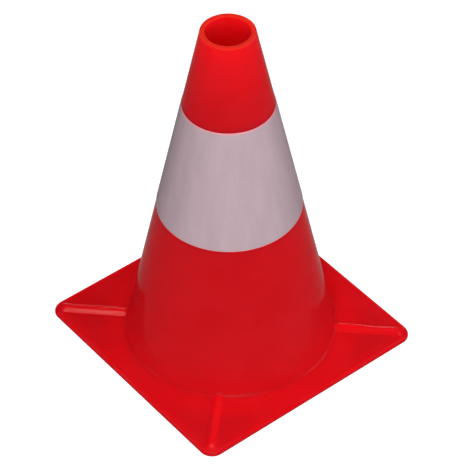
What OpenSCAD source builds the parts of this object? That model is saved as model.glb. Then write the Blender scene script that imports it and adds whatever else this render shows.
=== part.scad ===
// Small traffic cone: one soft PVC moulding with a wrapped reflective sleeve.
// Millimetres, +Z up. The origin is on the ground at the centre of the base.
// The base's sides run along X and Y, so its corners point along the diagonals.

/* [Cone] */
// Height of the whole cone above the ground
cone_h = 300; // [200:5:500]
// Outer diameter at the top edge
top_d = 41.2; // [30:0.2:80]
// How far the wall spreads outwards for each millimetre down
wall_slope = 0.2117; // [0.12:0.0001:0.3]
// Thickness of the wall, measured level
wall_t = 3; // [1.5:0.1:5]

/* [Top opening] */
// Diameter of the opening, which takes a lamp or a chain fitting
mouth_d = 33.4; // [20:0.1:60]
// Depth of the straight part of the opening
mouth_h = 6; // [4:1:30]
// Height over which the thick top edge thins to the wall's own thickness
mouth_taper = 44; // [10:1:80]

/* [Base] */
// Length of each side of the square base
base_w = 207; // [150:1:400]
// Radius of the base's corners
base_corner_r = 11; // [2:0.5:40]
// Thickness of the base
base_t = 4; // [3:0.5:12]
// Radius of the hollow curve between the wall and the base
foot_r = 3; // [2:0.5:12]

/* [Corner ribs] */
// Width of a rib's top
rib_top_w = 3; // [1:0.5:12]
// Width that a rib's two sloping sides add at the base
rib_draft_w = 6.8; // [0:0.2:16]
// Height of a rib above the base
rib_h = 2.6; // [1:0.1:12]
// Length of the slope at a rib's outer end
rib_tip = 2; // [1:0.5:3]
// Space between a rib's outer end and the tip of the corner
rib_gap = 5; // [3:0.5:20]

/* [Underside] */
// Depth of the hollows under the base's corners
pocket_h = 1.5; // [0:0.5:3]
// Width of the lip and webs around the hollows
lip_w = 6; // [3:0.5:15]

/* [Reflective sleeve] */
// Height of the sleeve's lower edge above the ground
sleeve_z = 134; // [60:1:200]
// Height of the sleeve, measured upright
sleeve_h = 99; // [30:0.5:150]
// Thickness of the sleeve's film
sleeve_t = 0.3; // [0.2:0.05:2]
// Width of the seam where the film laps over itself
lap_w = 14; // [5:1:40]

/* [Hidden] */
$fn = 128;
top_r = top_d / 2;
mouth_r = mouth_d / 2;
half_w = base_w / 2;
wall_angle = atan(wall_slope);
// How far joined parts reach into each other, so that they fuse.
overlap = 1;
// Thickness of the thin slices that a rib is stretched between.
slice_t = 0.5;
// Space left between the wall and the film for the adhesive.
glue_gap = 0.05;
// Direction of the sleeve's seam, over the base's back corner.
seam_turn = 45;
// Directions of the base's four corners.
CORNERS = [45, 135, 225, 315];
// Radius to the outer end of a rib.
rib_end_r = half_w * sqrt(2) - base_corner_r * (sqrt(2) - 1) - rib_gap;
// Radius of the ring of solid base left around the wall.
solid_ring_r = half_w - lip_w / 2;

// Outer radius of the wall's straight line at height z.
function wall_r(z) = top_r + wall_slope * (cone_h - z);

// Centre of the hollow curve that joins the wall to the base.
foot_cz = base_t + foot_r;
foot_cx = wall_r(foot_cz) + foot_r / cos(wall_angle);
foot_steps = 12;

// Points of the hollow curve, from the wall down to the base.
foot_curve = [
    for (i = [0:foot_steps])
        let (a = 180 + wall_angle + i * (90 - wall_angle) / foot_steps)
            [foot_cx + foot_r * cos(a), foot_cz + foot_r * sin(a)]
];

// Half outline of the wall and its foot, turned about the Z axis.
module wall_outline() {
    mouth_z = cone_h - mouth_h;
    inner_z = mouth_z - mouth_taper;
    polygon(concat(
        [[mouth_r, cone_h], [top_r, cone_h]],
        foot_curve,
        [
            [foot_cx + overlap, base_t],
            [foot_cx + overlap, 0],
            [wall_r(0) - wall_t, 0],
            [wall_r(inner_z) - wall_t, inner_z],
            [mouth_r, mouth_z]
        ]
    ));
}

// A square with rounded corners, w on each side.
module rounded_square(w, r) {
    s = w / 2 - r;
    square([w, w - 2 * r], center = true);
    square([w - 2 * r, w], center = true);
    for (x = [-s, s], y = [-s, s])
        translate([x, y]) circle(r = r);
}

// The flat base plate around the foot of the wall.
module base_plate() {
    linear_extrude(base_t)
        difference() {
            rounded_square(base_w, base_corner_r);
            circle(r = foot_cx);
        }
}

// A thin slice of a rib's cross-section at radius r.
module rib_slice(r) {
    bottom_w = rib_top_w + rib_draft_w;
    translate([r, 0, base_t])
        rotate([90, 0, 90])
            linear_extrude(slice_t)
                polygon([
                    [-bottom_w / 2, -overlap],
                    [bottom_w / 2, -overlap],
                    [bottom_w / 2, 0],
                    [rib_top_w / 2, rib_h],
                    [-rib_top_w / 2, rib_h],
                    [-bottom_w / 2, 0]
                ]);
}

// One rib along +X, from the wall out to the base's corner, with a rounded, sloping end.
module rib() {
    hull() {
        rib_slice(wall_r(base_t + rib_h) - slice_t);
        rib_slice(rib_end_r - rib_tip - slice_t);
        translate([rib_end_r - rib_top_w, 0, base_t - overlap])
            cylinder(h = overlap, r = rib_top_w, $fn = 32);
    }
}

// The hollows under the corners, with a web left under each rib.
module corner_pockets() {
    translate([0, 0, -overlap])
        linear_extrude(pocket_h + overlap)
            difference() {
                rounded_square(base_w - 2 * lip_w, base_corner_r - lip_w);
                circle(r = solid_ring_r);
                for (a = CORNERS)
                    rotate(a)
                        translate([0, -lip_w / 2]) square([base_w, lip_w]);
            }
}

// The moulded cone: wall, foot, base and ribs in one piece, open right through.
module cone_body() {
    color("#d5141c")
        difference() {
            union() {
                rotate_extrude() wall_outline();
                base_plate();
                for (a = CORNERS)
                    rotate(a) rib();
            }
            corner_pockets();
        }
}

// Half outline of film between gap and gap + t away from the wall.
module film_outline(gap, t) {
    top_z = sleeve_z + sleeve_h;
    polygon([
        [wall_r(sleeve_z) + gap, sleeve_z],
        [wall_r(sleeve_z) + gap + t, sleeve_z],
        [wall_r(top_z) + gap + t, top_z],
        [wall_r(top_z) + gap, top_z]
    ]);
}

// The reflective film, wrapped once around the wall and lapped over itself behind.
// The lap's layer starts half way into the film below it, so that the two fuse.
module reflective_sleeve() {
    lap_angle = lap_w / wall_r(sleeve_z + sleeve_h / 2) * 180 / PI;
    color("#bcaeb2")
        union() {
            rotate_extrude() film_outline(glue_gap, sleeve_t);
            rotate(seam_turn - lap_angle / 2)
                rotate_extrude(angle = lap_angle)
                    film_outline(glue_gap + sleeve_t / 2, 1.5 * sleeve_t);
        }
}

cone_body();
reflective_sleeve();
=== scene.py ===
"""Looks of a small traffic cone: a soft red PVC moulding with a wrapped reflective sleeve."""
import math

import bpy
import numpy as np
from mathutils import Matrix, Vector


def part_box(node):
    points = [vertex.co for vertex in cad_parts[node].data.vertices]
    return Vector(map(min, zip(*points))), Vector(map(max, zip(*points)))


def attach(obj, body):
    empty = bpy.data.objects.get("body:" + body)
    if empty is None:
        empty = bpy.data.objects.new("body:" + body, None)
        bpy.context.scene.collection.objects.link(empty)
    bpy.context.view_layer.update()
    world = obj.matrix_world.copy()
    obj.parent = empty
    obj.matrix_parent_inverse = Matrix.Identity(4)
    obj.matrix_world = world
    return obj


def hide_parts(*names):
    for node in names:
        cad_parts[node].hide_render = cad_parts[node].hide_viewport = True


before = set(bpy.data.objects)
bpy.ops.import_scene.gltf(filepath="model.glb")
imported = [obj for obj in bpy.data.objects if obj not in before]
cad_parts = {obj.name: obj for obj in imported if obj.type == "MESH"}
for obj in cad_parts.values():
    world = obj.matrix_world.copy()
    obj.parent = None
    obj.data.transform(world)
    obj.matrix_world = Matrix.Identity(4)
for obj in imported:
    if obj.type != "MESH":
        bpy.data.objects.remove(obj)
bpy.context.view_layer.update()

MM = 0.001

# ---- Driving dimensions, in millimetres; height and width come from the CAD frame ----
CONE_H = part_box("cone_body")[1][2] / MM
HALF_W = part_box("cone_body")[1][0] / MM
SLEEVE_Z0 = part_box("reflective_sleeve")[0][2] / MM
SLEEVE_Z1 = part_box("reflective_sleeve")[1][2] / MM

TOP_R = 20.6
WALL_SLOPE = 0.2117
WALL_T = 3.0
RIM_ROUND = 0.7
MOUTH_R = 16.7
MOUTH_H = 6.0
MOUTH_TAPER = 44.0

BASE_T = 4.0
BASE_ROUND = 2.5
CORNER_R = 11.0
FOOT_R = 3.0

RIB_TOP_HALF = 1.5
RIB_H = 2.6
RIB_END_GAP = 5.0
RIB_DRAFT = 3.4
RIB_TIP = 2.0
RIB_BLEND = 0.35
FOOT_BLEND = 1.2

LIP_W = 6.0
WEB_HALF = 3.0
POCKET_H = 1.5
POCKET_SLOPE = 1.6
UNDER_ROUND = 0.8

FILM_T = 0.3
GLUE_GAP = 0.05
LAP_W = 14.0
LAP_TURN = math.radians(45)
LAP_RISE = 3.0
LAP_CLEAR = 0.02
FILM_CHAMFER = 0.1

WALL_ANGLE = math.atan(WALL_SLOPE)


def wall_r(z):
    """Outer radius of the wall's straight line at height z."""
    return TOP_R + WALL_SLOPE * (CONE_H - z)


def smoothstep(t):
    t = np.clip(t, 0.0, 1.0)
    return t * t * (3.0 - 2.0 * t)


def soft_max(a, b, k):
    """The larger of a and b, rounded over a width k where they meet."""
    h = np.clip(0.5 + 0.5 * (a - b) / k, 0.0, 1.0)
    return b + (a - b) * h + k * h * (1.0 - h)


def foot_profile(r, floor_z, radius):
    """Height of the wall and the hollow curve at its foot, over a floor at floor_z."""
    centre_z = floor_z + radius
    centre_r = wall_r(centre_z) + radius / math.cos(WALL_ANGLE)
    touch_r = centre_r - radius * math.cos(WALL_ANGLE)
    on_wall = CONE_H - (r - TOP_R) / WALL_SLOPE
    run = np.clip(r - centre_r, -radius, 0.0)
    on_curve = centre_z - np.sqrt(radius * radius - run * run)
    return np.where(r < touch_r, on_wall, on_curve)


FOOT_CR = wall_r(BASE_T + FOOT_R) + FOOT_R / math.cos(WALL_ANGLE)
CORNER_CU = (HALF_W - CORNER_R) * math.sqrt(2)
RIB_END_U = CORNER_CU + CORNER_R - RIB_END_GAP
POCKET_R = HALF_W - LIP_W / 2


def top_height(x, y):
    """Height of the foot, base and ribs over the point x, y."""
    base = foot_profile(np.hypot(x, y), BASE_T, FOOT_R)
    along = (np.abs(x) + np.abs(y)) / math.sqrt(2)
    across = np.abs(np.abs(x) - np.abs(y)) / math.sqrt(2)
    aside = np.maximum(across - RIB_TOP_HALF, 0.0)
    beyond = np.maximum(along - (RIB_END_U - RIB_TIP), 0.0) * RIB_DRAFT / RIB_TIP
    flank = RIB_H * (1.0 - np.hypot(aside, beyond) / RIB_DRAFT)
    rib = soft_max(-soft_max(-flank, np.full_like(flank, -RIB_H), RIB_BLEND), 0.0 * flank, RIB_BLEND)
    at_wall = foot_profile(along, BASE_T + RIB_H, FOOT_R) - (BASE_T + RIB_H)
    near = np.minimum(at_wall, FOOT_R) * np.clip(rib / RIB_H, 0.0, 1.0)
    return soft_max(base, BASE_T + rib + near, FOOT_BLEND * np.clip(base - BASE_T, 0.05, 1.0))


def under_height(x, y):
    """Height of the underside: shallow hollows in the corners, with a web under each rib."""
    r = np.hypot(x, y)
    edge = HALF_W - LIP_W - np.maximum(np.abs(x), np.abs(y))
    across = np.abs(np.abs(x) - np.abs(y)) / math.sqrt(2)
    inside = np.minimum(np.minimum(edge, r - POCKET_R), across - WEB_HALF)
    return POCKET_H * smoothstep(inside / POCKET_SLOPE)


# ---- Mesh helpers ----
def new_object(name, verts, faces, material):
    mesh = bpy.data.meshes.new(name)
    mesh.from_pydata([tuple(v) for v in np.asarray(verts) * MM], [], faces)
    mesh.validate()
    mesh.update()
    for face in mesh.polygons:
        face.use_smooth = True
    mesh.materials.append(material)
    obj = bpy.data.objects.new(name, mesh)
    bpy.context.scene.collection.objects.link(obj)
    return obj


def loop_faces(rows, columns):
    """Quads of a grid that closes on itself both ways."""
    faces = []
    for i in range(rows):
        k = (i + 1) % rows
        for j in range(columns):
            m = (j + 1) % columns
            faces.append((i * columns + j, k * columns + j, k * columns + m, i * columns + m))
    return faces


def arc(cx, cz, r, start, end, steps):
    """Points of an arc in the profile plane, angles in degrees."""
    return [
        (cx + r * math.cos(math.radians(a)), cz + r * math.sin(math.radians(a)))
        for a in np.linspace(start, end, steps)
    ]


def base_columns(rib_lines, side_lines):
    """Directions at the foot, and the outline's points and normals, one for each grid column.

    Near a diagonal the columns run parallel to the rib; between ribs they fan out."""
    reach = CORNER_R * math.sin(math.radians(45))
    turns, points, normals = [], [], []
    for corner in range(4):
        diagonal = math.radians(45 + 90 * corner)
        ahead = np.array([math.cos(diagonal), math.sin(diagonal)])
        left = np.array([-ahead[1], ahead[0]])
        for v in np.linspace(-reach, reach, rib_lines):
            rise = math.sqrt(CORNER_R ** 2 - v ** 2)
            turns.append(diagonal + math.asin(v / FOOT_CR))
            points.append(ahead * (CORNER_CU + rise) + left * v)
            normals.append((ahead * rise + left * v) / CORNER_R)
        half_turn = math.asin(reach / FOOT_CR)
        first, last = diagonal + half_turn, diagonal + math.pi / 2 - half_turn
        side = diagonal + math.pi / 4
        out = np.array([math.cos(side), math.sin(side)])
        along = np.array([-out[1], out[0]])
        half_side = HALF_W - CORNER_R
        for step in range(1, side_lines + 1):
            t = step / (side_lines + 1)
            turns.append(first + (last - first) * t)
            points.append(out * HALF_W + along * half_side * (2 * t - 1))
            normals.append(out)
    return np.array(turns), np.array(points), np.array(normals)


def body_mesh(material):
    """The whole moulding as one closed grid: mouth, wall, foot, base, underside, inside."""
    turns, outline, normals = base_columns(rib_lines=41, side_lines=44)
    circle = np.stack([np.cos(turns), np.sin(turns)], axis=1)
    rows = []

    def ring(r, z):
        rows.append(np.column_stack([circle * r, np.full(len(turns), z)]))

    def edge(inset, z):
        rows.append(np.column_stack([outline - normals * inset, np.full(len(turns), z)]))

    def across(start, inset, steps, height):
        first = circle * start
        last = outline - normals * inset
        for t in steps:
            flat = first + (last - first) * t
            rows.append(np.column_stack([flat, height(flat[:, 0], flat[:, 1])]))

    # Mouth and top edge
    for z in np.linspace(CONE_H - MOUTH_H, CONE_H - RIM_ROUND - 0.5, 4):
        ring(MOUTH_R, z)
    for r, z in arc(MOUTH_R + RIM_ROUND, CONE_H - RIM_ROUND, RIM_ROUND, 180, 90, 8):
        ring(r, z)
    ring((MOUTH_R + TOP_R) / 2, CONE_H)
    outer_r = wall_r(CONE_H - RIM_ROUND)
    for r, z in arc(outer_r - RIM_ROUND, CONE_H - RIM_ROUND, RIM_ROUND, 90, 8, 8):
        ring(r, z)
    # Outside of the wall
    for z in np.linspace(CONE_H - 3.0, BASE_T + RIB_H + 5.0, 40):
        ring(wall_r(z), z)
    # Foot, where the ribs begin
    wall_foot_r = wall_r(BASE_T + RIB_H + 4.5)
    for r in np.linspace(wall_foot_r, FOOT_CR, 34):
        flat = circle * r
        rows.append(np.column_stack([flat, top_height(flat[:, 0], flat[:, 1])]))
    # Base
    across(FOOT_CR, BASE_ROUND, np.linspace(0, 1, 34)[1:], top_height)
    for inset, z in arc(-BASE_ROUND, BASE_T - BASE_ROUND, BASE_ROUND, 90, 0, 9)[1:]:
        edge(-inset, z)
    for inset, z in arc(-UNDER_ROUND, UNDER_ROUND, UNDER_ROUND, 0, -90, 5):
        edge(-inset, z)
    # Underside
    inner_foot = wall_r(0) - WALL_T
    across(inner_foot + UNDER_ROUND, 2 * UNDER_ROUND, np.linspace(1, 0, 40), under_height)
    for r, z in arc(inner_foot + UNDER_ROUND, UNDER_ROUND, UNDER_ROUND, 270, 180, 5)[1:]:
        ring(r, z)
    # Inside of the wall
    for z in np.linspace(3.0, CONE_H - MOUTH_H - MOUTH_TAPER - 6.0, 26):
        ring(wall_r(z) - WALL_T, z)
    # The top thickens towards the mouth in one smooth sweep
    low_z = CONE_H - MOUTH_H - MOUTH_TAPER
    low_r = wall_r(low_z) - WALL_T
    for t in np.linspace(0.0, 1.0, 16)[:-1]:
        ring(low_r + (MOUTH_R - low_r) * t, low_z + MOUTH_TAPER * t)

    verts = np.concatenate(rows)
    return new_object("cone_moulding", verts, loop_faces(len(rows), len(turns)), material)


def sleeve_mesh(material):
    """One strip of film around the wall; its last stretch lies on top of its first."""
    middle_r = wall_r((SLEEVE_Z0 + SLEEVE_Z1) / 2)
    lap = LAP_W / middle_r
    start = LAP_TURN - lap / 2
    turns = np.linspace(start, start + math.tau + lap, 241)
    rise_turn = LAP_RISE / middle_r
    round_r = FILM_T * 0.35
    levels = np.linspace(SLEEVE_Z0 + 1.0, SLEEVE_Z1 - 1.0, 24)
    section = [(0.0, z) for z in levels[::-1]]
    section += [(0.0, SLEEVE_Z0 + FILM_CHAMFER), (FILM_CHAMFER, SLEEVE_Z0)]
    section += arc(FILM_T - round_r, SLEEVE_Z0 + round_r, round_r, -90, 0, 4)
    section += [(FILM_T, z) for z in levels]
    section += arc(FILM_T - round_r, SLEEVE_Z1 - round_r, round_r, 0, 90, 4)
    section += [(FILM_CHAMFER, SLEEVE_Z1), (0.0, SLEEVE_Z1 - FILM_CHAMFER)]
    verts = []
    for a in turns:
        lift = (FILM_T + LAP_CLEAR) * smoothstep((a - (start + math.tau) + rise_turn) / rise_turn)
        for off, z in section:
            r = wall_r(z) + GLUE_GAP + off + lift
            verts.append((r * math.cos(a), r * math.sin(a), z))
    n = len(section)
    faces = []
    for j in range(len(turns) - 1):
        for i in range(n):
            k = (i + 1) % n
            faces.append((j * n + i, j * n + k, (j + 1) * n + k, (j + 1) * n + i))
    faces.append(tuple(range(n - 1, -1, -1)))
    faces.append(tuple(range((len(turns) - 1) * n, len(turns) * n)))
    return new_object("film_wrap", verts, faces, material)


# ---- Materials ----
# How much light the floor reflects, and how much it gives off to anything but the camera
FLOOR_ALBEDO = 0.2
FLOOR_GLOW = 0.16

# Height of the painted highlight band at the top edge, where the base colour turns lighter orange-red as if
# the upward face caught light from above, and of the film's tinted cut edges
RIM_BAND = 1.2
RIM_FULL = 0.5
FILM_EDGE_LOW = 1.4
FILM_EDGE_HIGH = 2.0


class Nodes:
    """A small wrapper that adds nodes to one material and links them."""

    def __init__(self, name):
        self.material = bpy.data.materials.new(name)
        self.material.use_nodes = True
        self.tree = self.material.node_tree
        self.shader = self.tree.nodes["Principled BSDF"]

    def add(self, kind, **values):
        node = self.tree.nodes.new(kind)
        for key, value in values.items():
            if key in node.inputs:
                node.inputs[key].default_value = value
            else:
                setattr(node, key, value)
        return node

    def link(self, source, target):
        self.tree.links.new(source, target)

    def noise(self, place, scale, detail=3.0, roughness=0.55):
        node = self.add("ShaderNodeTexNoise", Scale=scale, Detail=detail, Roughness=roughness)
        self.link(place, node.inputs["Vector"])
        return node.outputs["Fac"]

    def spread(self, value, low, high, out_low, out_high):
        node = self.add("ShaderNodeMapRange", clamp=True)
        self.link(value, node.inputs["Value"])
        node.inputs["From Min"].default_value = low
        node.inputs["From Max"].default_value = high
        node.inputs["To Min"].default_value = out_low
        node.inputs["To Max"].default_value = out_high
        return node.outputs["Result"]

    def mix(self, factor, a, b):
        node = self.add("ShaderNodeMix", data_type="RGBA")
        self.link(factor, node.inputs["Factor"])
        for socket, colour in (("A", a), ("B", b)):
            target = [i for i in node.inputs if i.name == socket and i.type == "RGBA"][0]
            if isinstance(colour, tuple):
                target.default_value = colour
            else:
                self.link(colour, target)
        return [o for o in node.outputs if o.type == "RGBA"][0]

    def height(self, place):
        node = self.add("ShaderNodeSeparateXYZ")
        self.link(place, node.inputs["Vector"])
        return node.outputs["Z"]

    def film_border(self, place):
        """1 along the sleeve's cut edges, where the film's colour is mixed towards a pinkish red; half as
        strong at the lower edge.
        """
        low = self.spread(self.height(place), SLEEVE_Z0 * MM, (SLEEVE_Z0 + FILM_EDGE_LOW) * MM, 0.5, 0.0)
        high = self.spread(self.height(place), (SLEEVE_Z1 - FILM_EDGE_HIGH) * MM, SLEEVE_Z1 * MM, 0.0, 1.0)
        node = self.add("ShaderNodeMath", operation="ADD")
        self.link(low, node.inputs[0])
        self.link(high, node.inputs[1])
        return node.outputs["Value"]

    def bump(self, height, strength, distance, normal=None):
        node = self.add("ShaderNodeBump", Strength=strength, Distance=distance)
        self.link(height, node.inputs["Height"])
        if normal is not None:
            self.link(normal, node.inputs["Normal"])
        return node.outputs["Normal"]


def pvc_material():
    """Soft red PVC: saturated, satin, faintly uneven, with a painted highlight of lighter orange-red along
    the top edge.
    """
    n = Nodes("soft_pvc")
    place = n.add("ShaderNodeTexCoord").outputs["Object"]
    cloud = n.noise(place, 28.0, 2.0)
    wall = n.mix(n.spread(cloud, 0.35, 0.65, 0.0, 1.0), (0.86, 0.0048, 0.0090, 1), (0.91, 0.0060, 0.0110, 1))
    # Painted highlight: the top edge is mixed towards a lighter orange-red, standing in for the light that
    # the upward-facing top face catches
    painted_rim_highlight = n.spread(n.height(place), (CONE_H - RIM_BAND) * MM, (CONE_H - RIM_FULL) * MM, 0.0, 0.8)
    n.link(n.mix(painted_rim_highlight, wall, (0.96, 0.030, 0.016, 1)), n.shader.inputs["Base Color"])
    fine = n.noise(place, 900.0, 2.0)
    n.link(n.spread(cloud, 0.3, 0.7, 0.07, 0.10), n.shader.inputs["Roughness"])
    wave = n.bump(cloud, 0.25, 0.0006)
    n.link(n.bump(fine, 0.12, 0.00006, wave), n.shader.inputs["Normal"])
    n.shader.inputs["Specular IOR Level"].default_value = 0.008
    n.shader.inputs["Coat Weight"].default_value = 0.12
    n.shader.inputs["Coat Roughness"].default_value = 0.09
    n.shader.inputs["Subsurface Weight"].default_value = 1.0
    n.shader.inputs["Subsurface Radius"].default_value = (1.0, 0.1, 0.1)
    n.shader.inputs["Subsurface Scale"].default_value = 0.027
    return n.material


def film_material():
    """Silver-grey glass-bead film: matte, fine grain, faint upright streaks, tinted cut edges."""
    n = Nodes("bead_film")
    place = n.add("ShaderNodeTexCoord").outputs["Object"]
    stretch = n.add("ShaderNodeMapping")
    stretch.inputs["Scale"].default_value = (1.0, 1.0, 0.06)
    n.link(place, stretch.inputs["Vector"])
    streak = n.noise(stretch.outputs["Vector"], 90.0, 3.0)
    grain = n.noise(place, 2600.0, 2.0, 0.7)
    base = n.mix(n.spread(streak, 0.3, 0.7, 0.0, 1.0), (0.40, 0.290, 0.322, 1), (0.46, 0.332, 0.370, 1))
    grainy = n.mix(n.spread(grain, 0.25, 0.75, 0.0, 0.35), base, (0.60, 0.49, 0.53, 1))
    n.link(n.mix(n.film_border(place), grainy, (0.80, 0.30, 0.34, 1)), n.shader.inputs["Base Color"])
    n.shader.inputs["Roughness"].default_value = 0.55
    n.shader.inputs["Specular IOR Level"].default_value = 0.08
    n.link(n.bump(grain, 0.2, 0.00008), n.shader.inputs["Normal"])
    return n.material


def floor_material():
    """White sweep; it throws less light on the cone than it shows, as a screened floor does."""
    n = Nodes("pale_floor")
    n.shader.inputs["Base Color"].default_value = (FLOOR_ALBEDO, FLOOR_ALBEDO, FLOOR_ALBEDO, 1)
    n.shader.inputs["Roughness"].default_value = 0.8
    n.shader.inputs["Specular IOR Level"].default_value = 0.0
    n.shader.inputs["Emission Color"].default_value = (1, 1, 1, 1)
    seen = n.add("ShaderNodeLightPath").outputs["Is Camera Ray"]
    n.link(n.spread(seen, 0.0, 1.0, FLOOR_GLOW, 1.0), n.shader.inputs["Emission Strength"])
    return n.material


# ---- Camera ----
CAMERA_TURN = math.radians(-38.46)
CAMERA_RISE = math.radians(43.83)
CAMERA_DISTANCE = 1907.8
CAMERA_AIM_Z = 97.8
CAMERA_PAN = 0.0021
CAMERA_ROLL = -0.0094
CAMERA_LENS = 189.27


def make_camera():
    back = Vector((
        math.sin(CAMERA_TURN) * math.cos(CAMERA_RISE),
        -math.cos(CAMERA_TURN) * math.cos(CAMERA_RISE),
        math.sin(CAMERA_RISE),
    ))
    ahead = -back
    right = ahead.cross(Vector((0, 0, 1))).normalized()
    up = right.cross(ahead)
    ahead, right = (
        ahead * math.cos(CAMERA_PAN) + right * math.sin(CAMERA_PAN),
        right * math.cos(CAMERA_PAN) - ahead * math.sin(CAMERA_PAN),
    )
    right, up = (
        right * math.cos(CAMERA_ROLL) + up * math.sin(CAMERA_ROLL),
        up * math.cos(CAMERA_ROLL) - right * math.sin(CAMERA_ROLL),
    )
    data = bpy.data.cameras.new("camera")
    data.lens = CAMERA_LENS
    data.sensor_width = 36.0
    data.clip_end = 50.0
    camera = bpy.data.objects.new("camera", data)
    place = (Vector((0, 0, CAMERA_AIM_Z)) + back * CAMERA_DISTANCE) * MM
    turn = Matrix((right, up, -ahead)).transposed()
    camera.matrix_world = Matrix.Translation(place) @ turn.to_4x4()
    bpy.context.scene.collection.objects.link(camera)
    bpy.context.scene.camera = camera


# ---- Light ----
def area_light(name, turn, rise, distance, size, power):
    """A soft light, wide by high; turn is measured from the camera's side, in degrees."""
    azimuth = CAMERA_TURN + math.radians(turn)
    tilt = math.radians(rise)
    back = Vector((math.sin(azimuth) * math.cos(tilt), -math.cos(azimuth) * math.cos(tilt), math.sin(tilt)))
    data = bpy.data.lights.new(name, "AREA")
    data.shape = "RECTANGLE"
    data.size, data.size_y = size
    data.energy = power
    light = bpy.data.objects.new(name, data)
    light.location = Vector((0, 0, 0.12)) + back * distance
    light.rotation_euler = back.to_track_quat("Z", "Y").to_euler()
    bpy.context.scene.collection.objects.link(light)


# The world: angles of the pale band in degrees, and how bright it and the room are
HORIZON_LOW = 15.0
HORIZON_HIGH = 40.0
HORIZON_LIGHT = 0.6
ROOM_LIGHT = 0.05
FLOOR_HALF = 6.0


def make_world():
    """A pale band around the horizon under a dim room, as behind a photographer's table."""
    world = bpy.data.worlds.new("studio")
    world.use_nodes = True
    tree = world.node_tree
    place = tree.nodes.new("ShaderNodeTexCoord")
    axes = tree.nodes.new("ShaderNodeSeparateXYZ")
    ramp = tree.nodes.new("ShaderNodeMapRange")
    ramp.interpolation_type = "SMOOTHSTEP"
    ramp.inputs["From Min"].default_value = math.sin(math.radians(HORIZON_LOW))
    ramp.inputs["From Max"].default_value = math.sin(math.radians(HORIZON_HIGH))
    ramp.inputs["To Min"].default_value = HORIZON_LIGHT
    ramp.inputs["To Max"].default_value = ROOM_LIGHT
    tree.links.new(place.outputs["Generated"], axes.inputs["Vector"])
    tree.links.new(axes.outputs["Z"], ramp.inputs["Value"])
    tree.links.new(ramp.outputs["Result"], tree.nodes["Background"].inputs["Strength"])
    bpy.context.scene.world = world


def make_studio():
    bpy.context.scene.view_settings.view_transform = "Standard"
    make_world()
    area_light("front_light", 0, 24, 2.2, (1.6, 1.6), 29.0)
    area_light("front_high", 0, 44, 2.2, (0.9, 0.9), 13.0)
    area_light("left_key", -29, 60, 1.6, (0.36, 0.36), 3.8)
    area_light("right_key", 56, 50, 1.6, (0.36, 0.36), 3.8)
    area_light("left_fill", -85, 30, 1.8, (0.9, 0.9), 4.6)
    area_light("right_fill", 95, 35, 1.8, (0.9, 0.9), 8.4)
    area_light("top_fill", 180, 80, 1.8, (0.9, 0.9), 2.5)
    area_light("back_low", 180, 12, 1.8, (0.9, 0.9), 13.0)
    s = FLOOR_HALF
    mesh = bpy.data.meshes.new("floor")
    mesh.from_pydata([(-s, -s, 0), (s, -s, 0), (s, s, 0), (-s, s, 0)], [], [(0, 1, 2, 3)])
    mesh.materials.append(floor_material())
    floor = bpy.data.objects.new("floor", mesh)
    floor.location.z = -0.2 * MM
    bpy.context.scene.collection.objects.link(floor)


make_camera()
make_studio()

moulding = body_mesh(pvc_material())
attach(moulding, "root")
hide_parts("cone_body")

film = sleeve_mesh(film_material())
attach(film, "root")
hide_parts("reflective_sleeve")
